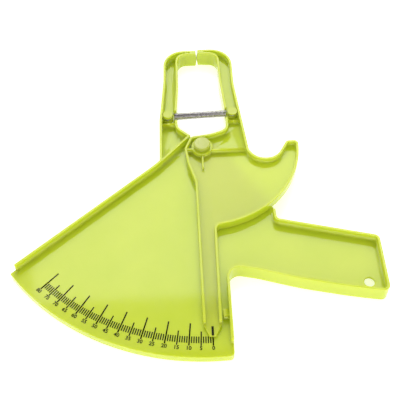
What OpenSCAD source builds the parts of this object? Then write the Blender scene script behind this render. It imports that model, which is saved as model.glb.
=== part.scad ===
// Skinfold caliper lying on its back: a moulded frame with a scale sector, handle and
// left jaw, and a moulded lever with the right jaw, finger trigger and pointer.
// The pivot axis is Z through the origin, the jaws close on +Y and the zero of the
// scale lies on -Y. Angles on the scale run clockwise from -Y, seen from above.

/* [Scale and opening] */
// Jaw opening at the full reading
full_reading = 80; // [60:1:90]
// Distance from the pivot to the middle of the jaw faces
jaw_reach = 104.6; // [102:0.1:107]
// Radius of the scale sector
sector_r = 175; // [172:0.5:180]
// Angle of the diagonal fence behind the full reading
fence_deg = 49.8; // [49.3:0.1:50.3]
// Distance from the pivot to the outer face of the fence
fence_off = 11.5; // [11.3:0.1:11.8]

/* [Frame moulding] */
// Height of the frame, lip to wall top
frame_h = 14; // [13:0.1:16]
// Height of the frame plate's upper face
plate_z = 6.8; // [6:0.1:7.2]
// Thickness of the frame plate
plate_t = 2.2; // [1.6:0.1:3]
// Thickness of the moulded walls
wall = 2; // [1.6:0.1:2.2]
// Outer face of the wall beside the zero mark
zero_wall_x = 13.8; // [13:0.1:15]
// Outer face of the handle's end wall
handle_end_x = 123.7; // [119:0.1:130]
// Diameter of the lanyard hole
lanyard_d = 7.2; // [5:0.1:8]
// Diameter of the boss under the pivot
frame_boss_d = 17; // [14:0.5:19]

/* [Lever moulding] */
// Height of the lever's lowest edge, under the jaw arm
lever_low = 1; // [0.5:0.1:2]
// Height of the lever plate's lower face
lever_z = 7.3; // [7.3:0.1:8]
// Thickness of the lever plate
lever_t = 2; // [1.6:0.1:2.4]
// Height of the lever's wall tops
lever_top = 15; // [14:0.1:16]
// Diameter of the lever's pivot boss
lever_boss_d = 16.8; // [15:0.2:18]
// Radius of the trigger's outer edge, which runs round the pivot
trigger_r = 75.2; // [74:0.1:76]

/* [Pivot] */
// Diameter of the pin in the lever's bore
pin_d = 8; // [6:0.2:9]
// Diameter of the pin in the frame's boss
pin_foot_d = 6; // [5:0.2:6.4]
// Diameter of the pin's round head
knob_d = 12.8; // [11:0.2:14]
// Height of the top of the head
knob_top = 17.8; // [17:0.1:19]

/* [Spring] */
// Distance of both spring studs from the centre line
stud_x = 26; // [25.6:0.1:26.2]
// Distance of both spring studs from the pivot along Y
stud_y = 34.8; // [34:0.1:36]
// Height of the spring's axis at the frame's stud
spring_z_left = 10.2; // [10.2:0.1:10.6]
// Height of the spring's axis at the lever's stud
spring_z_right = 12.4; // [12.3:0.1:12.8]
// Height of the left spool's top
spool_top_left = 14.2; // [13:0.1:15]
// Height of the right spool's top
spool_top_right = 15.2; // [14.6:0.1:16]
// Number of turns in the spring
coil_turns = 40; // [30:1:40]
// Pitch of the turns
coil_pitch = 1.04; // [1.02:0.01:1.05]
// Diameter of the spring wire
wire_d = 0.6; // [0.5:0.05:0.6]
// Mean radius of the turns
coil_r = 2.55; // [2.3:0.05:2.6]

/* [Hidden] */
$fn = 64;

lime = "#c3dc32";
steel = "#b9bcc0";
nylon = "#ecebe2";

eps = 0.01;
far = 400;                        // longer than anything in the part
jaw_gap = 0.1;                    // between the closed jaw faces
jaw_t = 4.4;                      // thickness of both jaw bars
jaw_out = jaw_reach + jaw_t / 2;  // outer edge of the jaw bars at the tips
jaw_in = jaw_reach - jaw_t / 2;   // throat side of the jaw bars
lever_plate_top = lever_z + lever_t;
run_gap = 0.05;                   // running clearance, radial
rib_t = 1.6;
jaw_tip_w = 6;
rib_y = 25.8;                     // stiffening ribs below the spring studs
slot_low = stud_y - 6.3;          // the spring swings this way as the jaws open
slot_high = stud_y + 3.6;

// ---- Outlines: corners are [x, y, fillet radius] ----

function unit(v) = v / norm(v);
function left_of(v) = [-v[1], v[0]];
function spot(c) = [c[0], c[1]];
function around(path, i) = path[(i + len(path)) % len(path)];
// Directions into and out of corner i; an open path's ends have one of them
function way_in(path, i, closed) =
  (closed || i > 0) ? unit(spot(path[i]) - spot(around(path, i - 1)))
                    : unit(spot(path[i + 1]) - spot(path[i]));
function way_out(path, i, closed) =
  (closed || i < len(path) - 1) ? unit(spot(around(path, i + 1)) - spot(path[i]))
                                : way_in(path, i, closed);

// The path moved t to its left, with every fillet kept concentric
function shifted(path, t, closed = true) = [
  for (i = [0 : len(path) - 1])
    let (a = way_in(path, i, closed), b = way_out(path, i, closed))
    let (move = (left_of(a) + left_of(b)) * t / (1 + a * b))
    let (r = path[i][2], turn = cross(a, b))
    [path[i][0] + move[0], path[i][1] + move[1],
     r == 0 ? 0 : max(0, turn > 0 ? r - t : r + t)]
];

// Points of a path with its fillets drawn as arcs
function filleted(path, closed = true) = [
  for (i = [0 : len(path) - 1])
    let (a = way_in(path, i, closed), b = way_out(path, i, closed))
    let (r = path[i][2], side = cross(a, b) > 0 ? 1 : -1)
    let (bend = acos(min(1, a * b)), steps = ceil(bend / (r > 20 ? 4 : 11)))
    each (r == 0 || bend < 0.5) ? [spot(path[i])] :
      let (start = spot(path[i]) - a * r * tan(bend / 2))
      let (centre = start + left_of(a) * side * r)
      [for (k = [0 : steps])
        let (q = side * bend * k / steps, s = start - centre)
        centre + [s[0] * cos(q) - s[1] * sin(q), s[0] * sin(q) + s[1] * cos(q)]]
];

function reversed(list) = [for (i = [len(list) - 1 : -1 : 0]) list[i]];
// A point of the scale: r from the pivot, q degrees round from the zero mark
function on_scale(r, q) = [-r * sin(q), -r * cos(q)];
function corner(p, r) = [p[0], p[1], r];
// A point on the line that runs off from the pivot at the fence's angle, `off` beside it
function along_fence(off, r) =
  on_scale(sqrt(r * r - off * off), fence_deg) + on_scale(off, fence_deg + 90);

// A wall of thickness t along the left side of a path
module band(path, t) {
  polygon(concat(filleted(path, false), reversed(filleted(shifted(path, t, false), false))));
}
module slab(z0, z1) translate([0, 0, z0]) linear_extrude(z1 - z0) children();

// ---- Frame ----

fence_top = [-9.9, 12.85];        // where the fence meets the throat
fence_bend = [-35.9, -15.2];      // it runs further out up here, round the lever's shoulder
fence_end_r = sector_r - 4.7;     // it stops short of the sector's edge
arm_x = -33.1;                    // outer face of the left arm at its foot
// The arm's outer wall runs down into the fence
arm_foot_y = fence_bend[1] - 0.5
  + (arm_x - fence_bend[0]) * (fence_top[1] - fence_bend[1]) / (fence_top[0] - fence_bend[0]);

// The left arm: down its outer side from the jaw tip, and up its throat side
arm_outer = [
  [-jaw_gap / 2, jaw_out, 0], [-28.4, jaw_out + 0.5, 17], [-28.8, 72, 60], [-32.7, 29, 40],
  [arm_x, arm_foot_y, 0]
];
arm_inner = [
  corner(fence_top, 0), [-18.3, 20.5, 8], [-18.8, 38, 30], [-16.8, 63, 80],
  [-16.4, jaw_in, 7.5], [-jaw_gap / 2, jaw_in, 0]
];
// The plate's edge under the fence runs on past the fence's end
function fence_line(r) = [
  corner(fence_top, 0), corner(fence_bend, 100), corner(along_fence(fence_off, r), 0)
];

// Neck, handle and zero wall, from the foot of the zero wall round to the stub
stub_x = 51.2;
zero_wall_end = -166;             // the wall beside the zero mark stops here
tray_path = [
  [zero_wall_x, -sector_r, 0], [zero_wall_x, -108.6, 7.5], [34, -113.2, 60],
  [64, -122.6, 200], [100, -131, 250], [handle_end_x, -135.1, 4.5],
  [handle_end_x - 0.3, -89.1, 4.5], [stub_x + 0.3, -70.6, 3.2], [stub_x, -60, 0]
];
// The plate's edge under the lever, back to the pivot
neck_path = [
  [stub_x, -60, 0], [stub_x, -57, 3], [13.2, 4.5, 6], [4, 11, 5], [-9.9, 10, 0]
];
corner_r = 3;
corner_c = [zero_wall_x - corner_r,
            -sqrt(pow(sector_r - corner_r, 2) - pow(zero_wall_x - corner_r, 2))];

corner_q = atan2(corner_c[0], -corner_c[1]);
corner_arc = [
  for (k = [0 : 6])
    let (q = corner_q + (90 - corner_q) * k / 6)
    corner_c + (corner_r - (k == 0 ? 0.02 : 0)) * [sin(q), -cos(q)]
];
right_edge = concat(tray_path, [for (i = [1 : len(neck_path) - 1]) neck_path[i]]);

module plate_2d() {
  intersection() {
    polygon(concat(
      [1.2 * corner_c], corner_arc,
      [for (p = filleted(right_edge, false)) if (p[1] > corner_c[1]) p],
      filleted(fence_line(sector_r + 6), false), [on_scale(240, 26)]
    ));
    union() {
      circle(sector_r, $fn = 180);
      translate([zero_wall_x - 1, corner_c[1] + 2]) square(far);
    }
  }
}

module arm_2d() polygon(concat(filleted(arm_outer, false), filleted(arm_inner, false)));

// Lips under the plate, all the way round and down to the rest plane
module frame_lips() {
  slab(0, plate_z) {
    band(arm_outer, wall);
    band(arm_inner, wall);
    intersection() {
      union() {
        difference() {
          translate([zero_wall_x - far, -far]) square(far);
          circle(sector_r - wall, $fn = 180);
        }
        band(right_edge, wall);
        band(fence_line(sector_r + 3), wall);
      }
      plate_2d();
    }
  }
}

// Walls above the plate: both sides of the arm, the fence, and the handle's tray
module frame_walls() {
  slab(plate_z - eps, frame_h) {
    band(arm_outer, wall);
    band(arm_inner, wall);
    band(fence_line(fence_end_r), wall);
    difference() {
      intersection() {
        band(tray_path, wall);
        plate_2d();
        translate([0, zero_wall_end]) square(far);
      }
      circle(trigger_r + 4.8, $fn = 180);     // the trigger swings past the end of this wall
    }
  }
}

// The jaw bar is solid at its tip, where the two walls of the arm meet
module jaw_tip(low, high) slab(low, high) intersection() {
  children();
  translate([-jaw_tip_w, jaw_in - 1]) square([2 * jaw_tip_w, 2 * jaw_t]);
}

// Rib across an arm's channel under the spring stud
module arm_rib(side, z0, z1) {
  slab(z0, z1)
    translate([side > 0 ? 20.5 : -31.8, rib_y - rib_t / 2]) square([side > 0 ? 11 : 12, rib_t]);
}

// Slot through the throat wall that the spring passes and swings in
module spring_slot(side, z0, z1) {
  slab(z0, z1)
    translate([side > 0 ? 17 : -23.4, slot_low]) square([6.4, slot_high - slot_low]);
}

stud_d = 3.2;
spool_d = 8.2;
spool_cap = 1.2;                  // thickness of a spool's closed top
// Room for a spool to turn beside the arm's outer wall
module spool_room(side, z0) {
  translate([side * stud_x, stud_y, z0]) cylinder(h = far, d = spool_d + 0.6);
}
module stud(side, z0, z1) {
  translate([side * stud_x, stud_y, z0]) {
    cylinder(h = z1 - z0 - 0.4, d = stud_d);
    translate([0, 0, z1 - z0 - 0.4]) cylinder(h = 0.4, d1 = stud_d, d2 = stud_d - 0.8);
  }
}

// The block beside the zero mark, where the pointer comes to rest
module zero_stop() {
  slab(plate_z - eps, frame_h - 1)
    translate([7.8, -148]) square([zero_wall_x - 8.8, 5.5]);
}

// A jaw face touches in a narrow band and slopes back above and below it
module jaw_relief(side, low, high) {
  flat_h = 2.4;
  back = 0.8;
  face = side * jaw_gap / 2;
  half = (high - low) / 2;
  for (up = [-1, 1])
    translate([0, jaw_reach, low + half])
      rotate([90, 0, 0])
        linear_extrude(2 * jaw_t, center = true)
          polygon([
            [face - side, up * flat_h / 2], [face, up * flat_h / 2],
            [face + side * back, up * half], [face + side * back, up * (half + 1)],
            [face - side, up * (half + 1)]
          ]);
}

ring_recess_d = 10.4;
ring_recess_h = 1.4;

module frame() {
  color(lime)
    difference() {
      union() {
        slab(plate_z - plate_t, plate_z) {
          plate_2d();
          arm_2d();
        }
        frame_lips();
        frame_walls();
        cylinder(h = plate_z, d = frame_boss_d);
        arm_rib(-1, plate_z - eps, frame_h - 1.5);
        zero_stop();
        jaw_tip(0, frame_h) arm_2d();
      }
      spring_slot(-1, plate_z, frame_h + 1);
      spool_room(-1, plate_z);
      jaw_relief(-1, 0, frame_h);
      translate([0, 0, -1]) cylinder(h = plate_z + 2, d = pin_foot_d);
      translate([0, 0, -1]) cylinder(h = ring_recess_h + 1, d = ring_recess_d);
      translate([111.7, -123.2, -1]) cylinder(h = plate_z + 2, d = lanyard_d);
    }
  color(lime) stud(-1, plate_z - eps, spool_top_left - spool_cap - 0.2);
}

// ---- Lever ----

pointer_end = -152;               // the pointer's walls stop here and its flat tip goes on
tip_y = -160.7;
arc_from = 9;                     // the trigger's edge runs from here, degrees round from -Y,
arc_to = 88.5;                    // to here
arc_mid = (arc_from + arc_to) / 2;
arc_corner = trigger_r / cos(arc_mid - arc_from) * [sin(arc_mid), -cos(arc_mid)];
trigger_top = 1.9;
lever_outer = [
  [6.7, pointer_end, 0], [7, -100, 60],
  [7.3, (7.3 * sin(arc_from) - trigger_r) / cos(arc_from), 4.4],
  corner(arc_corner, trigger_r),
  [(trigger_r + trigger_top * cos(arc_to)) / sin(arc_to), trigger_top, 3.3],
  [66.3, trigger_top, 3.3], [56.7, -14.5, 12.7], [41.5, -14.5, 12.7],
  [36.2, -5.5, 4], [29.1, 66, 60], [29.2, jaw_out - 0.3, 18], [jaw_gap / 2, jaw_out, 0]
];
lever_inner = [
  [jaw_gap / 2, jaw_in, 0], [16.6, jaw_in - 1.2, 7.5], [17.4, 70, 80], [20.3, 32, 40],
  [19.8, 16.3, 6], [8, 11.9, 30], [-8.6, 9.5, 4], [-13.8, -1.8, 6], [-11.8, -16.5, 15],
  [-6.7, -34.5, 12], [-6.2, pointer_end, 0]
];
skirt_y = 13;                     // the arm's lower walls are closed here, short of the neck

module lever_2d() {
  polygon(concat(filleted(lever_outer, false), filleted(lever_inner, false),
                 [[-2.3, tip_y], [2.3, tip_y]]));
}

module lever_walls() {
  slab(lever_z, lever_top) {
    band(lever_outer, wall);
    band(lever_inner, wall);
  }
  slab(lever_low, lever_z + eps)
    intersection() {
      union() {
        band(lever_outer, wall);
        band(lever_inner, wall);
        translate([8, skirt_y]) square([24, wall]);
      }
      lever_2d();
      translate([-far / 2, skirt_y]) square(far);
    }
}

// Ribs from the pivot boss to the shoulder, to the notch and down the plate
module lever_ribs() {
  slab(lever_plate_top - eps, lever_top - 1)
    translate([-12.6, -2.2 - rib_t / 2]) square([12.6, rib_t]);
  slab(lever_plate_top - eps, lever_top - 1)
    translate([0, -3.6 - rib_t / 2]) square([35, rib_t]);
  slab(lever_plate_top - eps, lever_top - 2.5) {
    translate([-rib_t / 2, -19.2]) square([rib_t, 19.2]);
    translate([0, -19.2]) circle(d = rib_t);
  }
}

module lever() {
  color(lime)
    difference() {
      union() {
        slab(lever_z, lever_plate_top) lever_2d();
        lever_walls();
        lever_ribs();
        translate([0, 0, lever_z]) cylinder(h = lever_top - lever_z - 1, d = lever_boss_d);
        translate([0, 0, lever_z]) cylinder(h = lever_top - lever_z, d = knob_d - 0.8);
        arm_rib(1, lever_plate_top - eps, lever_top - 1.5);
        jaw_tip(lever_low, lever_top) lever_2d();
      }
      spring_slot(1, lever_plate_top, lever_top + 1);
      spool_room(1, lever_plate_top);
      jaw_relief(1, lever_low, lever_top);
      translate([0, 0, lever_z - 1]) cylinder(h = lever_top, d = pin_d + 2 * run_gap);
    }
  color(lime) stud(1, lever_plate_top - eps, spool_top_right - spool_cap - 0.2);
}

// ---- Pivot ----

washer_t = 0.42;
knob_edge = 0.7;

module pivot_pin() {
  head_z = lever_top + 0.1;
  shoulder_z = plate_z + washer_t + 0.02;
  color(lime)
    rotate_extrude()
      polygon([
        [0, 0], [pin_foot_d / 2, 0], [pin_foot_d / 2, shoulder_z], [pin_d / 2, shoulder_z],
        [pin_d / 2, head_z], [knob_d / 2, head_z], [knob_d / 2, knob_top - knob_edge],
        [knob_d / 2 - knob_edge * 0.3, knob_top - knob_edge * 0.3],
        [knob_d / 2 - knob_edge, knob_top], [0, knob_top]
      ]);
}

module thrust_washer() {
  color(nylon)
    translate([0, 0, plate_z])
      difference() {
        cylinder(h = washer_t, d = frame_boss_d - 1.4);
        translate([0, 0, -1]) cylinder(h = 3, d = pin_foot_d + 0.2);
      }
}

// Push-on ring whose teeth grip the pin in the recess at the back of the boss
module retaining_ring() {
  teeth = 6;
  color(steel)
    translate([0, 0, ring_recess_h - 0.4])
      difference() {
        cylinder(h = 0.4, d = ring_recess_d - 0.6);
        translate([0, 0, -1]) cylinder(h = 3, d = pin_foot_d);
        for (i = [0 : teeth - 1])
          rotate(i * 360 / teeth)
            translate([pin_foot_d / 2 - 0.3, -0.3, -1]) cube([1.1, 0.6, 3]);
      }
}

// ---- Spring and its spools ----

spool_waist_d = 4.6;
spool_groove = 0.65;              // half the height of the groove that holds the wire

module spool(side, z_low, z_wire, z_top) {
  bore_r = stud_d / 2 + run_gap;
  r = spool_d / 2;
  waist_r = spool_waist_d / 2;
  color(lime)
    translate([side * stud_x, stud_y, 0])
      rotate_extrude()
        polygon([
          [bore_r, z_low], [r, z_low], [r, z_wire - spool_groove - 0.6],
          [waist_r + 0.2, z_wire - spool_groove], [waist_r, z_wire],
          [waist_r + 0.2, z_wire + spool_groove], [r, z_wire + spool_groove + 1],
          [r, z_top - 0.3], [r - 0.3, z_top], [0, z_top],
          [0, z_top - spool_cap], [bore_r, z_top - spool_cap]
        ]);
}
module spring_spool_left() spool(-1, plate_z + 0.15, spring_z_left, spool_top_left);
module spring_spool_right() spool(1, lever_plate_top + 0.15, spring_z_right, spool_top_right);

// The wire's path, with x along the axis from the left stud and z up from the axis
span = 2 * stud_x;
loop_r = 2.85;                    // mean radius of the end loops round the spools
coil_start = (span - coil_turns * coil_pitch) / 2;
rings_per_turn = 8;
wire_sides = 6;
loop_rings = 14;
lead_rings = 5;
loop_end = 338;                   // where the end loop stops, round from the axis

function smooth_step(a, da, b, db, t) =
  (2 * t * t * t - 3 * t * t + 1) * a + (t * t * t - 2 * t * t + t) * da
  + (3 * t * t - 2 * t * t * t) * b + (t * t * t - t * t) * db;

// Left half: free end, loop, lead, and half of the turns; the right half is the same
// wire turned half a turn about a line along Y through the middle
half_rings = coil_turns * rings_per_turn / 2;
loop_points = [
  for (k = [0 : loop_rings])
    let (q = loop_end - (loop_end - 90) * k / loop_rings)
    [loop_r * cos(q), loop_r * sin(q), 0]
];
free_end = loop_points[0] + wire_d * [sin(loop_end), -cos(loop_end), 0];
lead_points = [
  for (k = [1 : lead_rings - 1])
    smooth_step([0, loop_r, 0], [7, 0, 0], [coil_start, coil_r, 0], [1, 0, -6], k / lead_rings)
];
half_coil = [
  for (k = [0 : half_rings])
    let (q = 360 * k / rings_per_turn)
    [coil_start + coil_pitch * k / rings_per_turn, coil_r * cos(q), -coil_r * sin(q)]
];
left_wire = concat([free_end], loop_points, lead_points, half_coil);
right_wire = [for (p = reversed(left_wire)) [span - p[0], p[1], -p[2]]];
both_halves = concat(left_wire, [for (i = [1 : len(right_wire) - 1]) right_wire[i]]);
// The axis climbs from the frame's stud to the lever's
wire_path = [
  for (p = both_halves)
    [p[0] - stud_x, p[1] + stud_y,
     p[2] + spring_z_left + (spring_z_right - spring_z_left) * p[0] / span]
];

// Rings of the tube; each ring's frame is carried from the last without twist
function frame_dirs(path, i) =
  let (n = len(path))
  i == 0 ? unit(path[1] - path[0])
         : i == n - 1 ? unit(path[n - 1] - path[n - 2]) : unit(path[i + 1] - path[i - 1]);
function carried(path, i, normal) =
  i >= len(path) ? []
  : let (d = frame_dirs(path, i), m = unit(normal - d * (normal * d)))
    concat([[d, m]], carried(path, i + 1, m));
function tube_points(path, r, sides) =
  let (frames = carried(path, 0, [0, 0, 1]))
  [for (i = [0 : len(path) - 1], s = [0 : sides - 1])
    let (m = frames[i][1], b = cross(frames[i][0], m), q = 360 * s / sides)
    path[i] + r * (m * cos(q) + b * sin(q))];
function tube_faces(rings, sides) = concat(
  [for (s = [1 : sides - 2]) [0, s + 1, s]],
  [for (i = [0 : rings - 2], s = [0 : sides - 1], half = [0, 1])
    let (a = i * sides, b = a + sides, t = (s + 1) % sides)
    half == 0 ? [a + s, b + t, b + s] : [a + s, a + t, b + t]],
  [for (s = [1 : sides - 2])
    let (e = (rings - 1) * sides) [e, e + s, e + s + 1]]
);

module tube(path, r, sides) {
  polyhedron(points = tube_points(path, r, sides), faces = tube_faces(len(path), sides));
}

// Least distance between two stretches of the wire that are not neighbours, less its
// own thickness
near_rings = rings_per_turn - 3;
wire_gap = min([
  for (i = [0 : len(wire_path) - 1 - near_rings], j = [i + near_rings : len(wire_path) - 1])
    norm(wire_path[i] - wire_path[j])
]) - wire_d;

module spring() {
  echo(spring_least_gap = wire_gap, turns = coil_turns);
  color(steel) tube(wire_path, wire_d / 2, wire_sides);
}

// Angle of the lever at the full reading, from the chord between the jaw faces
echo(full_opening_deg = 2 * asin(full_reading / 2 / jaw_reach));

frame();
lever();
pivot_pin();
thrust_washer();
retaining_ring();
spring_spool_left();
spring_spool_right();
spring();
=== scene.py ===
"""A moulded skinfold caliper on a pale floor, seen from above the scale sector's edge.

The caliper lies on its back with the pivot axis on Z, the jaws on +Y and the zero of
the scale on -Y. Sizes are in millimetres unless a name says otherwise; meshes are in
metres.
"""

import logging
import math
from dataclasses import dataclass, field
from enum import Enum

import bmesh
import bpy
from mathutils import Matrix, Vector
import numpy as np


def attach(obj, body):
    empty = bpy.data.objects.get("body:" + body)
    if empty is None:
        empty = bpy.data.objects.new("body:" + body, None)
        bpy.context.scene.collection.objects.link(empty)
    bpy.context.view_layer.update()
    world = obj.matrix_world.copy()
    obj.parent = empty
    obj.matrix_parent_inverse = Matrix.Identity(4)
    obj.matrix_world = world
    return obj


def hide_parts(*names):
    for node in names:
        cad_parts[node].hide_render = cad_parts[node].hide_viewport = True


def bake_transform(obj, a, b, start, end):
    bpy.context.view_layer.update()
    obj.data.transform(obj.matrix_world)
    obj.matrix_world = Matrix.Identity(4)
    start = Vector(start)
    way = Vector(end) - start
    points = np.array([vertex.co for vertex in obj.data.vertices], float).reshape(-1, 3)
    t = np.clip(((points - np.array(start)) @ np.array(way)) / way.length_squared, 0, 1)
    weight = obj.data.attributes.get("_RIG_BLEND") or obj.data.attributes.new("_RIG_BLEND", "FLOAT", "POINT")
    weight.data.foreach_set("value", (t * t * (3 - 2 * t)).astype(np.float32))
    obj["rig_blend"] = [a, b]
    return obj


MM = 0.001
WELD_MM = 0.04  # corners of the CAD mesh closer than this are one corner
FLAT_DEG = 0.6  # faces closer in angle than this are one face
RIM_DEG = 32  # an edge sharper than this is a corner of the moulding
log = logging.getLogger("caliper")

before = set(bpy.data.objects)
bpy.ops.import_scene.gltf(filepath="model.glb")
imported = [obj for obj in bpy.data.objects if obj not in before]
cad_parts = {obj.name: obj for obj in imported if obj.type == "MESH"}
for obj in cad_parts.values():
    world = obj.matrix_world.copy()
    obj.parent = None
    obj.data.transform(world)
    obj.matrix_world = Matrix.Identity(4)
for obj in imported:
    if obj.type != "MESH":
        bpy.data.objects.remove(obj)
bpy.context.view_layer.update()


# ---------------------------------------------------------------------------
# Meshes
# ---------------------------------------------------------------------------


def new_piece(
    name: str, mesh: bpy.types.Mesh, material: bpy.types.Material
) -> bpy.types.Object:
    """Makes an object of a finished mesh, at the origin.

    Args:
        name: The piece's name.
        mesh: Its mesh, in metres, in place.
        material: Its finish.

    Returns:
        The linked object.
    """
    mesh.name = name
    mesh.materials.clear()
    mesh.materials.append(material)
    piece = bpy.data.objects.new(name, mesh)
    bpy.context.scene.collection.objects.link(piece)
    return piece


def settle(piece: bpy.types.Object, body: str, slot: str, *nodes: str) -> None:
    """Hangs a piece on its body and hides any CAD nodes that it stands for.

    Args:
        piece: The piece.
        body: The body that it moves with.
        slot: Not used.
        nodes: CAD nodes that the piece stands for.
    """
    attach(piece, body)
    if nodes:
        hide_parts(*nodes)
    log.info("%s on %s, %d faces", piece.name, body, len(piece.data.polygons))


def apply_modifiers(piece: bpy.types.Object) -> None:
    """Turns a piece's modifiers into plain mesh.

    Args:
        piece: The piece.
    """
    graph = bpy.context.evaluated_depsgraph_get()
    graph.update()
    mesh = bpy.data.meshes.new_from_object(piece.evaluated_get(graph))
    materials = list(piece.data.materials)
    piece.modifiers.clear()
    piece.data = mesh
    mesh.materials.clear()
    for material in materials:
        mesh.materials.append(material)


def is_rim(edge: bmesh.types.BMEdge) -> bool:
    """Whether an edge is an outer corner that a moulding has rounded.

    Args:
        edge: An edge of the plain CAD mesh.

    Returns:
        True for an edge to round.
    """
    joins_two = len(edge.link_faces) == 2
    return joins_two and edge.is_convex and edge.calc_face_angle(0.0) > math.radians(RIM_DEG)


def rounded_copy(
    node: str, name: str, edge_mm: float, material: bpy.types.Material, segments: int = 2
) -> bpy.types.Object:
    """Copies a CAD node and rounds its edges as a mould does.

    Args:
        node: The CAD node.
        name: The copy's name.
        edge_mm: Radius of the rounded edges.
        material: The copy's finish.
        segments: Steps across each rounded edge.

    Returns:
        The copy, shaded smooth between its rounded edges.
    """
    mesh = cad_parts[node].data.copy()
    work = bmesh.new()
    work.from_mesh(mesh)
    bmesh.ops.remove_doubles(work, verts=work.verts, dist=WELD_MM * MM)
    bmesh.ops.dissolve_limit(
        work,
        angle_limit=math.radians(FLAT_DEG),
        use_dissolve_boundaries=False,
        verts=work.verts,
        edges=work.edges,
    )
    weight = work.edges.layers.float.new("bevel_weight_edge")
    for edge in work.edges:
        edge[weight] = float(is_rim(edge))
    work.to_mesh(mesh)
    work.free()
    for layer in list(mesh.attributes):
        if layer.name.startswith("custom_normal") or layer.name == "sharp_edge":
            mesh.attributes.remove(layer)
    piece = new_piece(name, mesh, material)
    bevel = piece.modifiers.new("edges", "BEVEL")
    bevel.width = edge_mm * MM
    bevel.segments = segments
    bevel.limit_method = "WEIGHT"
    bevel.use_clamp_overlap = False
    bevel.harden_normals = False
    even = piece.modifiers.new("even", "WEIGHTED_NORMAL")
    even.mode = "FACE_AREA"
    even.weight = 100
    even.keep_sharp = True
    for face in mesh.polygons:
        face.use_smooth = True
    apply_modifiers(piece)
    return piece


def tube_mesh(name: str, path: list[Vector], radius: float, sides: int) -> bpy.types.Mesh:
    """Sweeps a round wire along a path.

    Args:
        name: The mesh's name.
        path: Points of the wire's centre, in metres.
        radius: The wire's radius, in metres.
        sides: Sides of its section.

    Returns:
        A closed tube.
    """
    mesh = bpy.data.meshes.new(name)
    work = bmesh.new()
    normal = Vector((0, 0, 1))
    rings = []
    for i, point in enumerate(path):
        ahead = path[min(i + 1, len(path) - 1)] - path[max(i - 1, 0)]
        along = ahead.normalized()
        normal = (normal - along * normal.dot(along)).normalized()
        other = along.cross(normal)
        turns = [math.tau * s / sides for s in range(sides)]
        rings.append([
            work.verts.new(point + radius * (math.cos(a) * normal + math.sin(a) * other))
            for a in turns
        ])
    for low, high in zip(rings, rings[1:]):
        for s in range(sides):
            t = (s + 1) % sides
            work.faces.new((low[s], low[t], high[t], high[s]))
    work.faces.new(list(reversed(rings[0])))
    work.faces.new(rings[-1])
    bmesh.ops.recalc_face_normals(work, faces=work.faces)
    for face in work.faces:
        face.smooth = True
    work.to_mesh(mesh)
    work.free()
    return mesh


# ---------------------------------------------------------------------------
# Finishes
# ---------------------------------------------------------------------------


class NodeBench:
    """A material's node tree, with short ways to add and join nodes."""

    def __init__(self, name: str) -> None:
        """Starts a material with a Principled shader.

        Args:
            name: The material's name.
        """
        self.material = bpy.data.materials.new(name)
        self.material.use_nodes = True
        self.tree = self.material.node_tree
        self.tree.nodes.clear()
        self.output = self.tree.nodes.new("ShaderNodeOutputMaterial")
        self.shader = self.tree.nodes.new("ShaderNodeBsdfPrincipled")
        self.join(self.shader.outputs["BSDF"], self.output.inputs["Surface"])
        self.place = self.tree.nodes.new("ShaderNodeTexCoord").outputs["Object"]

    def join(self, source: bpy.types.NodeSocket, target: bpy.types.NodeSocket) -> None:
        """Links two sockets."""
        self.tree.links.new(source, target)

    def set(self, **values: object) -> None:
        """Sets the shader's own sockets; underscores in the names stand for spaces."""
        for name, value in values.items():
            self.shader.inputs[name.replace("_", " ")].default_value = value

    def noise(
        self, scale: float, detail: float = 3.0, stretch: tuple = (1, 1, 1)
    ) -> bpy.types.NodeSocket:
        """Adds noise over the object's own place.

        Args:
            scale: Features per metre.
            detail: Octaves.
            stretch: Scale along each axis.

        Returns:
            The noise's value socket.
        """
        mapping = self.tree.nodes.new("ShaderNodeMapping")
        mapping.inputs["Scale"].default_value = stretch
        self.join(self.place, mapping.inputs["Vector"])
        node = self.tree.nodes.new("ShaderNodeTexNoise")
        node.inputs["Scale"].default_value = scale
        node.inputs["Detail"].default_value = detail
        self.join(mapping.outputs["Vector"], node.inputs["Vector"])
        return node.outputs["Fac"]

    def spread(
        self,
        value: bpy.types.NodeSocket,
        low: float,
        high: float,
        start: float = 0.3,
        end: float = 0.7,
    ) -> bpy.types.NodeSocket:
        """Maps a value's middle range to low..high.

        Args:
            value: The socket to map.
            low: Result at start and below.
            high: Result at end and above.
            start: Value that gives low.
            end: Value that gives high.

        Returns:
            The mapped socket.
        """
        node = self.tree.nodes.new("ShaderNodeMapRange")
        node.inputs["From Min"].default_value = start
        node.inputs["From Max"].default_value = end
        node.inputs["To Min"].default_value = low
        node.inputs["To Max"].default_value = high
        self.join(value, node.inputs["Value"])
        return node.outputs["Result"]

    def blend_colours(
        self, share: bpy.types.NodeSocket, first: tuple, second: tuple
    ) -> bpy.types.NodeSocket:
        """Mixes two colours by a socket's value.

        Args:
            share: The socket; 0 gives the first colour and 1 the second.
            first: The first colour, red, green and blue.
            second: The second colour.

        Returns:
            The mixed colour's socket.
        """
        node = self.tree.nodes.new("ShaderNodeMix")
        node.data_type = "RGBA"
        self.join(share, node.inputs["Factor"])
        node.inputs[6].default_value = (*first, 1)
        node.inputs[7].default_value = (*second, 1)
        return node.outputs[2]

    def bump(self, height: bpy.types.NodeSocket, strength: float, distance: float) -> None:
        """Adds a bump to the shader's normal, on top of any bump that is there.

        Args:
            height: The height's socket.
            strength: Its strength.
            distance: Its depth, in metres.
        """
        node = self.tree.nodes.new("ShaderNodeBump")
        node.inputs["Strength"].default_value = strength
        node.inputs["Distance"].default_value = distance
        self.join(height, node.inputs["Height"])
        normal = self.shader.inputs["Normal"]
        if normal.is_linked:
            self.join(normal.links[0].from_socket, node.inputs["Normal"])
        self.join(node.outputs["Normal"], normal)


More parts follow.
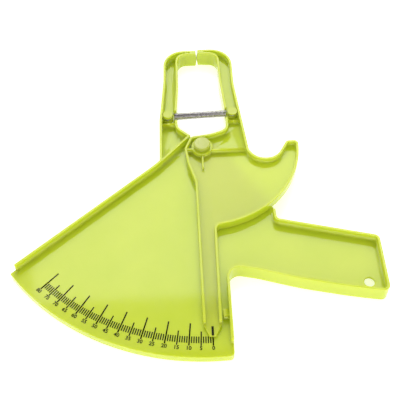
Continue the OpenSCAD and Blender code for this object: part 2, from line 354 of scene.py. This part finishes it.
@dataclass(frozen=True)
class GlossyLime:
    """Slightly cloudy, glossy lime plastic with the faint waves of a moulding."""

    name: str
    clear: tuple = (0.55, 0.645, 0.034)
    cloudy: tuple = (0.585, 0.67, 0.044)
    gloss: float = 0.06
    scatter: float = 0.75
    scatter_mm: float = 5.0
    coat: float = 0.25
    wave: float = 0.07

    def make(self) -> bpy.types.Material:
        """Builds the material.

        Returns:
            The material.
        """
        bench = NodeBench(self.name)
        bench.set(
            IOR=1.5,
            Subsurface_Weight=self.scatter,
            Subsurface_Radius=(1.0, 1.0, 0.22),
            Subsurface_Scale=self.scatter_mm * MM,
            Coat_Weight=self.coat,
            Coat_Roughness=0.06,
        )
        cloud = bench.noise(22, 3)
        share = bench.spread(cloud, 0, 1, 0.35, 0.65)
        bench.join(
            bench.blend_colours(share, self.clear, self.cloudy),
            bench.shader.inputs["Base Color"],
        )
        rub = bench.noise(160, 6, (1, 0.35, 1))
        bench.join(
            bench.spread(rub, self.gloss * 0.75, self.gloss * 1.9, 0.35, 0.75),
            bench.shader.inputs["Roughness"],
        )
        bench.bump(bench.noise(34, 1), self.wave, 0.4 * MM)
        bench.bump(bench.noise(900, 2), 0.05, 0.02 * MM)
        return bench.material


@dataclass(frozen=True)
class SpringSteel:
    """Bright drawn wire, streaked along its drawing marks."""

    name: str
    colour: tuple = (0.60, 0.60, 0.61)
    roughness: float = 0.28

    def make(self) -> bpy.types.Material:
        """Builds the material.

        Returns:
            The material.
        """
        bench = NodeBench(self.name)
        bench.set(Metallic=1.0)
        tint = bench.noise(400, 4)
        dark = tuple(c * 0.72 for c in self.colour)
        bench.join(
            bench.blend_colours(bench.spread(tint, 0, 1), dark, self.colour),
            bench.shader.inputs["Base Color"],
        )
        bench.join(
            bench.spread(bench.noise(1500, 3), self.roughness * 0.8, self.roughness * 1.5),
            bench.shader.inputs["Roughness"],
        )
        bench.bump(bench.noise(3000, 2), 0.1, 0.01 * MM)
        return bench.material


@dataclass(frozen=True)
class Nylon:
    """Off-white nylon, satin, with faint turning marks."""

    name: str = "nylon_satin"
    yellowed: tuple = (0.78, 0.76, 0.68)
    clean: tuple = (0.85, 0.84, 0.78)

    def make(self) -> bpy.types.Material:
        """Builds the material.

        Returns:
            The material.
        """
        bench = NodeBench(self.name)
        bench.set(IOR=1.53, Subsurface_Weight=0.3, Subsurface_Scale=1.0 * MM)
        bench.join(
            bench.blend_colours(bench.spread(bench.noise(250), 0, 1), self.yellowed, self.clean),
            bench.shader.inputs["Base Color"],
        )
        bench.join(bench.spread(bench.noise(700), 0.35, 0.55), bench.shader.inputs["Roughness"])
        bench.bump(bench.noise(1800, 2), 0.15, 0.02 * MM)
        return bench.material


@dataclass(frozen=True)
class PadPrint:
    """Black pad-printed ink, a little thin in places and rough beside the plastic."""

    name: str = "pad_print_black"
    thick: tuple = (0.006, 0.008, 0.003)
    thin: tuple = (0.02, 0.03, 0.006)

    def make(self) -> bpy.types.Material:
        """Builds the material.

        Returns:
            The material.
        """
        bench = NodeBench(self.name)
        bench.set(Specular_IOR_Level=0.12)
        bench.join(
            bench.blend_colours(bench.spread(bench.noise(1200, 4), 0, 1), self.thick, self.thin),
            bench.shader.inputs["Base Color"],
        )
        bench.join(bench.spread(bench.noise(2500, 3), 0.5, 0.7), bench.shader.inputs["Roughness"])
        bench.bump(bench.noise(4000, 2), 0.2, 0.01 * MM)
        return bench.material


@dataclass(frozen=True)
class StudioFloor:
    """White light table: the sheet glows, so the shadows on it stay faint."""

    name: str = "studio_sheet"
    glow: float = 0.52

    def make(self) -> bpy.types.Material:
        """Builds the material.

        Returns:
            The material.
        """
        bench = NodeBench(self.name)
        bench.set(Base_Color=(0.93, 0.93, 0.93, 1), Roughness=0.9, Specular_IOR_Level=0.15)
        bench.set(Emission_Color=(1, 1, 1, 1), Emission_Strength=self.glow)
        return bench.material


@dataclass(frozen=True)
class BlackCard:
    """Matt black card."""

    name: str = "black_card"

    def make(self) -> bpy.types.Material:
        """Builds the material.

        Returns:
            The material.
        """
        bench = NodeBench(self.name)
        bench.set(Base_Color=(0.01, 0.01, 0.01, 1), Roughness=0.9, Specular_IOR_Level=0.0)
        return bench.material


# ---------------------------------------------------------------------------
# The caliper
# ---------------------------------------------------------------------------


@dataclass
class Mouldings:
    """The two lime mouldings and the pieces on the pivot."""

    edge_round: float = 0.45
    pin_round: float = 0.55
    spool_round: float = 0.25
    finish: GlossyLime = field(default_factory=lambda: GlossyLime("lime_gloss"))
    pin_finish: GlossyLime = field(
        default_factory=lambda: GlossyLime(
            "lime_satin",
            clear=(0.49, 0.55, 0.07),
            cloudy=(0.52, 0.57, 0.085),
            gloss=0.3,
            wave=0.05,
        )
    )

    def build(self) -> None:
        """Makes the frame, the lever, and what joins them."""
        lime = self.finish.make()
        for node in ("frame", "lever"):
            piece = rounded_copy(node, f"{node}_moulding", self.edge_round, lime)
            settle(piece, node, f"lime_{node}", node)
        satin = self.pin_finish.make()
        piece = rounded_copy("pivot_pin", "pivot_knob", self.pin_round, satin, 3)
        settle(piece, "frame", "lime_pin", "pivot_pin")
        for side, body in (("left", "spring_anchor"), ("right", "spring_hook")):
            node = f"spring_spool_{side}"
            piece = rounded_copy(node, f"spool_{side}", self.spool_round, lime)
            settle(piece, body, "lime_spool", node)
        ring_steel = SpringSteel("ring_steel", colour=(0.42, 0.42, 0.43), roughness=0.35)
        for node, finish in (("thrust_washer", Nylon()), ("retaining_ring", ring_steel)):
            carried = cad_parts[node].data
            carried.materials.clear()
            carried.materials.append(finish.make())
            log.info("%s carried, %d faces", node, len(carried.polygons))


@dataclass
class ExtensionSpring:
    """The close-wound spring between the two arms, as one wire."""

    stud_x: float = 26.0
    stud_y: float = 34.8
    height_left: float = 10.2
    height_right: float = 12.4
    turns: int = 40
    pitch: float = 1.04
    wire: float = 0.78
    coil_r: float = 2.64
    loop_r: float = 2.85
    loop_end_deg: float = 338.0
    loop_pull: tuple = (7, 0, 0)
    coil_pull: tuple = (1, 0, -6)
    loop_steps: int = 30
    lead_steps: int = 10
    steps_per_turn: int = 20
    sides: int = 8
    finish: SpringSteel = field(
        default_factory=lambda: SpringSteel(
            "spring_wire", colour=(0.64, 0.60, 0.63), roughness=0.10
        )
    )

    def half(self) -> list[Vector]:
        """Finds the wire's path from its free end to the middle of the spring.

        Returns:
            Its points, in millimetres, with x from the left stud.
        """
        points = []
        span = 2 * self.stud_x
        start = (span - self.turns * self.pitch) / 2
        for k in range(self.loop_steps + 1):
            a = math.radians(self.loop_end_deg + (90 - self.loop_end_deg) * k / self.loop_steps)
            points.append(Vector((self.loop_r * math.cos(a), self.loop_r * math.sin(a), 0)))
        lead_from, lead_to = Vector((0, self.loop_r, 0)), Vector((start, self.coil_r, 0))
        pull_from, pull_to = Vector(self.loop_pull), Vector(self.coil_pull)
        for k in range(1, self.lead_steps):
            t = k / self.lead_steps
            points.append(
                (2 * t**3 - 3 * t**2 + 1) * lead_from + (t**3 - 2 * t**2 + t) * pull_from
                + (3 * t**2 - 2 * t**3) * lead_to + (t**3 - t**2) * pull_to
            )
        for k in range(self.turns * self.steps_per_turn // 2 + 1):
            a = math.tau * k / self.steps_per_turn
            points.append(
                Vector((
                    start + self.pitch * k / self.steps_per_turn,
                    self.coil_r * math.cos(a), -self.coil_r * math.sin(a),
                ))
            )
        return points

    def build(self) -> None:
        """Winds the wire and joins it to both arms."""
        span = 2 * self.stud_x
        left = self.half()
        right = [Vector((span - p.x, p.y, -p.z)) for p in reversed(left)]
        path = []
        for p in left + right[1:]:
            climb = self.height_left + (self.height_right - self.height_left) * p.x / span
            path.append(Vector((p.x - self.stud_x, p.y + self.stud_y, p.z + climb)) * MM)
        mesh = tube_mesh("extension_spring", path, self.wire / 2 * MM, self.sides)
        piece = new_piece("extension_spring", mesh, self.finish.make())
        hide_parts("spring")
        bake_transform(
            piece,
            "spring_anchor",
            "spring",
            start=(-self.stud_x * MM, self.stud_y * MM, self.height_left * MM),
            end=(self.stud_x * MM, self.stud_y * MM, self.height_left * MM),
        )
        log.info("%s, %d faces", piece.name, len(mesh.polygons))


class Tick(Enum):
    """The kinds of tick: inner radius, outer radius and width."""

    TEN = (150.0, 166.3, 0.9)
    FIVE = (156.0, 166.5, 0.82)
    ONE = (159.7, 164.5, 0.76)


@dataclass
class PrintedScale:
    """The black ticks and numbers on the sector, and the index on the pointer."""

    full: int = 80
    deg_per_mm: float = 45.2 / 80
    plate_z: float = 6.8
    tip_z: float = 9.3
    ink: float = 0.05
    number_r: float = 168.3
    number_size: float = 3.864
    number_stroke: float = 0.08
    index_in: float = 153.5
    index_out: float = 160.4
    index_w: float = 1.5

    def reading_angle(self, value: float) -> float:
        """The angle of a reading from the zero mark, in degrees."""
        return value * self.deg_per_mm

    def tick_group(self) -> bpy.types.NodeTree:
        """Geometry nodes that draw one radial tick per reading of a step.

        Returns:
            The tree, with inputs for the radii, width, height, count and step.
        """
        tree = bpy.data.node_groups.new("scale_ticks", "GeometryNodeTree")
        face = tree.interface
        face.new_socket("Geometry", in_out="OUTPUT", socket_type="NodeSocketGeometry")
        face.new_socket("Count", in_out="INPUT", socket_type="NodeSocketInt")
        for name in ("Step angle", "Inner radius", "Outer radius", "Width", "Floor", "Ink"):
            face.new_socket(name, in_out="INPUT", socket_type="NodeSocketFloat")
        face.new_socket("Material", in_out="INPUT", socket_type="NodeSocketMaterial")
        add, link = tree.nodes.new, tree.links.new
        given, out = add("NodeGroupInput"), add("NodeGroupOutput")

        def maths(kind: str, a: object, b: object = 0.0) -> bpy.types.NodeSocket:
            """Adds a sum of two values.

            Args:
                kind: The sum's kind.
                a: A socket or a number.
                b: A socket or a number.

            Returns:
                The result's socket.
            """
            node = add("ShaderNodeMath")
            node.operation = kind
            for socket, value in zip(node.inputs, (a, b)):
                if isinstance(value, bpy.types.NodeSocket):
                    link(value, socket)
                else:
                    socket.default_value = value
            return node.outputs[0]

        length = maths("SUBTRACT", given.outputs["Outer radius"], given.outputs["Inner radius"])
        both = maths("ADD", given.outputs["Outer radius"], given.outputs["Inner radius"])
        middle = maths("MULTIPLY", both, -0.5)
        size = add("ShaderNodeCombineXYZ")
        link(given.outputs["Width"], size.inputs["X"])
        link(length, size.inputs["Y"])
        link(given.outputs["Ink"], size.inputs["Z"])
        bar = add("GeometryNodeMeshCube")
        link(size.outputs[0], bar.inputs["Size"])
        lift = maths("ADD", given.outputs["Floor"], maths("MULTIPLY", given.outputs["Ink"], 0.5))
        spot = add("ShaderNodeCombineXYZ")
        link(middle, spot.inputs["Y"])
        link(lift, spot.inputs["Z"])
        moved = add("GeometryNodeTransform")
        link(bar.outputs["Mesh"], moved.inputs["Geometry"])
        link(spot.outputs[0], moved.inputs["Translation"])
        points = add("GeometryNodePoints")
        link(given.outputs["Count"], points.inputs["Count"])
        index = add("GeometryNodeInputIndex")
        clockwise = maths("MULTIPLY", given.outputs["Step angle"], -1.0)
        angle = maths("MULTIPLY", index.outputs[0], clockwise)
        turn = add("ShaderNodeCombineXYZ")
        link(angle, turn.inputs["Z"])
        place = add("GeometryNodeInstanceOnPoints")
        link(points.outputs[0], place.inputs["Points"])
        link(moved.outputs[0], place.inputs["Instance"])
        link(turn.outputs[0], place.inputs["Rotation"])
        real = add("GeometryNodeRealizeInstances")
        link(place.outputs[0], real.inputs[0])
        dress = add("GeometryNodeSetMaterial")
        link(real.outputs[0], dress.inputs["Geometry"])
        link(given.outputs["Material"], dress.inputs["Material"])
        link(dress.outputs[0], out.inputs[0])
        return tree

    def ticks(
        self, tree: bpy.types.NodeTree, kind: Tick, step: int, ink: bpy.types.Material
    ) -> bpy.types.Mesh:
        """Draws every tick of one length.

        Args:
            tree: The tick tree.
            kind: The tick's length.
            step: Readings between two ticks.
            ink: The ink.

        Returns:
            Their mesh.
        """
        inner, outer, width = kind.value
        holder = bpy.data.objects.new("ticks", bpy.data.meshes.new("ticks"))
        bpy.context.scene.collection.objects.link(holder)
        modifier = holder.modifiers.new("ticks", "NODES")
        modifier.node_group = tree
        values = {
            "Count": self.full // step + 1,
            "Step angle": math.radians(self.reading_angle(step)),
            "Inner radius": inner * MM,
            "Outer radius": outer * MM,
            "Width": width * MM,
            "Floor": self.plate_z * MM,
            "Ink": self.ink * MM,
            "Material": ink,
        }
        for item in tree.interface.items_tree:
            if item.in_out == "INPUT":
                modifier[item.identifier] = values[item.name]
        graph = bpy.context.evaluated_depsgraph_get()
        graph.update()
        mesh = bpy.data.meshes.new_from_object(holder.evaluated_get(graph))
        bpy.data.objects.remove(holder)
        return mesh

    def number(self, value: int) -> bpy.types.Mesh:
        """Draws a number along the arc, its head towards the pivot.

        Args:
            value: The reading.

        Returns:
            Its mesh.
        """
        curve = bpy.data.curves.new("number", "FONT")
        curve.body = str(value)
        curve.align_x = "CENTER"
        curve.align_y = "CENTER"
        curve.size = self.number_size * MM
        curve.offset = self.number_stroke * MM
        curve.extrude = self.ink / 2 * MM
        curve.resolution_u = 3
        holder = bpy.data.objects.new("number", curve)
        bpy.context.scene.collection.objects.link(holder)
        graph = bpy.context.evaluated_depsgraph_get()
        graph.update()
        mesh = bpy.data.meshes.new_from_object(holder.evaluated_get(graph))
        bpy.data.objects.remove(holder)
        turn = -math.radians(self.reading_angle(value))
        mesh.transform(
            Matrix.Rotation(turn, 4, "Z")
            @ Matrix.Translation(Vector((0, -self.number_r, self.plate_z + self.ink / 2)) * MM)
        )
        return mesh

    def join(
        self, name: str, meshes: list[bpy.types.Mesh], ink: bpy.types.Material
    ) -> bpy.types.Object:
        """Joins printed meshes into one piece.

        Args:
            name: The piece's name.
            meshes: The meshes.
            ink: The ink.

        Returns:
            The piece.
        """
        work = bmesh.new()
        for mesh in meshes:
            work.from_mesh(mesh)
        bmesh.ops.remove_doubles(work, verts=work.verts, dist=1e-7)
        bmesh.ops.recalc_face_normals(work, faces=work.faces)
        for one in work.faces:
            one.material_index = 0
        whole = bpy.data.meshes.new(name)
        work.to_mesh(whole)
        work.free()
        return new_piece(name, whole, ink)

    def build(self) -> None:
        """Prints the scale and the pointer's index line."""
        ink = PadPrint().make()
        tree = self.tick_group()
        steps = ((Tick.ONE, 1), (Tick.FIVE, 5), (Tick.TEN, 10))
        sets = [self.ticks(tree, kind, step, ink) for kind, step in steps]
        settle(self.join("scale_ticks", sets, ink), "frame", "lime_frame")
        numbers = [self.number(v) for v in range(0, self.full + 1, 5)]
        settle(self.join("scale_numbers", numbers, ink), "frame", "lime_frame")
        work = bmesh.new()
        bmesh.ops.create_cube(work, size=1.0)
        long = self.index_out - self.index_in
        middle = Vector((0, -(self.index_in + self.index_out) / 2, self.tip_z + self.ink / 2))
        size = Matrix.Diagonal((self.index_w * MM, long * MM, self.ink * MM, 1))
        place = Matrix.Translation(middle * MM) @ size
        bmesh.ops.transform(work, verts=work.verts, matrix=place)
        mesh = bpy.data.meshes.new("index_line")
        work.to_mesh(mesh)
        work.free()
        settle(new_piece("index_line", mesh, ink), "lever", "lime_lever")


# ---------------------------------------------------------------------------
# The studio
# ---------------------------------------------------------------------------


@dataclass
class Studio:
    """The camera, the floor and the lights."""

    elevation: float = 54.05
    distance: float = 610.8
    lens: float = 72.0
    roll: float = -1.04
    look_x: float = -3.52
    look_y: float = -41.6
    azimuth: float = 1.7
    floor_half: float = 6.0
    floor_drop: float = 0.0002
    daylight: float = 0.685
    flag_y: tuple = (-0.25, 0.3)
    back_place: tuple = (0, 1.075, 1.217)
    back_aim: tuple = (0, -0.065, -0.058)
    back_height: float = 0.95
    back_glow: float = 5.8
    layers: tuple = ((0.07, 1.06, 0.95), (0.005, 0.73, 0.95), (-0.06, 0.32, 0.87))

    def camera(self) -> None:
        """Puts the camera at the photograph's viewing angle."""
        data = bpy.data.cameras.new("camera")
        data.lens = self.lens
        data.sensor_width = 36.0
        data.clip_start = 0.01
        seat = bpy.data.objects.new("camera", data)
        bpy.context.scene.collection.objects.link(seat)
        e, a = math.radians(self.elevation), math.radians(self.azimuth)
        back = Vector(
            (-math.sin(a) * math.cos(e), -math.cos(a) * math.cos(e), math.sin(e))
        )
        target = Vector((self.look_x, self.look_y, 0)) * MM
        place = target + back * self.distance * MM
        turn = back.to_track_quat("Z", "Y").to_matrix().to_4x4()
        seat.matrix_world = (
            Matrix.Translation(place) @ turn @ Matrix.Rotation(math.radians(self.roll), 4, "Z")
        )
        bpy.context.scene.camera = seat

    def panel(self, name: str, place: tuple, aim: tuple, size: tuple, watts: float) -> None:
        """Hangs a soft light.

        Args:
            name: Its name.
            place: Its middle, in metres.
            aim: The point that it faces.
            size: Its width and height, in metres.
            watts: Its power.
        """
        data = bpy.data.lights.new(name, "AREA")
        data.shape = "RECTANGLE"
        data.size, data.size_y = size
        data.energy = watts
        lamp = bpy.data.objects.new(name, data)
        lamp.location = place
        lamp.rotation_euler = (Vector(place) - Vector(aim)).to_track_quat("Z", "Y").to_euler()
        bpy.context.scene.collection.objects.link(lamp)

    def back_box(self) -> None:
        """Hangs a soft light in layers, brightest near its middle.

        The layers share one top edge, and its reflection is the edge of the pale area
        across the sector. Each layer is a step aside, a width and a height, in metres,
        and glows with the same power per square metre.
        """
        place = Vector(self.back_place)
        away = (place - Vector(self.back_aim)).normalized()
        up = away.cross(Vector((0, 0, 1)).cross(away).normalized())
        for k, (aside, width, high) in enumerate(self.layers):
            middle = place + Vector((aside, 0, 0)) + up * (self.back_height - high) / 2
            self.panel(
                f"back_box_{k}",
                tuple(middle),
                tuple(middle - away),
                (width, high),
                self.back_glow * width * high,
            )

    def build(self) -> None:
        """Lays the floor and lights it."""
        mesh = bpy.data.meshes.new("floor")
        work = bmesh.new()
        h = self.floor_half
        corners = ((-h, -h, 0), (h, -h, 0), (h, h, 0), (-h, h, 0))
        work.faces.new([work.verts.new(p) for p in corners])
        work.to_mesh(mesh)
        work.free()
        floor = new_piece("floor", mesh, StudioFloor().make())
        floor.location.z = -self.floor_drop
        world = bpy.data.worlds.new("studio")
        world.use_nodes = True
        sky = world.node_tree.nodes["Background"]
        sky.inputs["Color"].default_value = (1, 1, 1, 1)
        sky.inputs["Strength"].default_value = self.daylight
        bpy.context.scene.world = world
        bpy.context.scene.view_settings.view_transform = "Standard"
        self.back_box()
        self.panel("front_box", (0, -1.7, 0.45), (0, 0, 0), (2.6, 0.9), 11)
        self.flag()

    def flag(self) -> None:
        """Hangs a black card overhead that only the reflections see."""
        mesh = bpy.data.meshes.new("flag")
        work = bmesh.new()
        low, high = self.flag_y
        corners = ((-1, low, 1), (-1, high, 1), (1, high, 1), (1, low, 1))
        work.faces.new([work.verts.new(p) for p in corners])
        work.to_mesh(mesh)
        work.free()
        card = new_piece("flag", mesh, BlackCard().make())
        card.visible_diffuse = False
        card.visible_shadow = False
        card.visible_camera = False
        card.visible_transmission = False


def main() -> None:
    """Builds the studio and the caliper."""
    logging.basicConfig(level=logging.INFO, format="%(message)s")
    studio = Studio()
    studio.camera()
    studio.build()
    Mouldings().build()
    ExtensionSpring().build()
    PrintedScale().build()
    bpy.context.view_layer.update()


if __name__ == "__main__":
    main()
